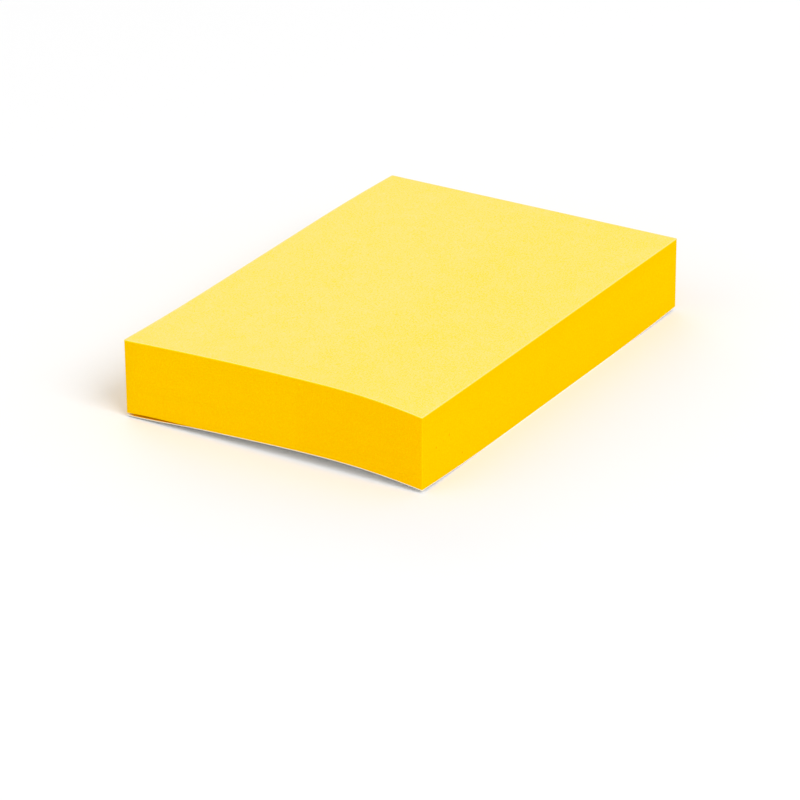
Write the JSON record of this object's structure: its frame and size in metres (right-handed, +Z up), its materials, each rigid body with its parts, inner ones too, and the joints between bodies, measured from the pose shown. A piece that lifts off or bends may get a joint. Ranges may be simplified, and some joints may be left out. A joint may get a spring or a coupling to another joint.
{
  "type": "sticky note pad",
  "caption": "Rectangular pad of repositionable notes on a thin white backing sheet, slightly curled, held along one long edge by a strip of weak adhesive.",
  "frame": {"origin": "on the table, under the middle of the pad's outline", "axes": "+X across the notes from the loose long edge to the glued long edge, +Y along the notes from the near end to the far end, +Z up"},
  "size_m": [0.051, 0.076, 0.0133],
  "materials": {
    "note_paper": "matt uncoated yellow paper, its cut edges deeper than its face",
    "backing_paper": "matt white release paper"
  },
  "bodies": {
    "root": {"note_sheets": "note_paper", "backing_sheet": "backing_paper"}
  },
  "joints": []
}
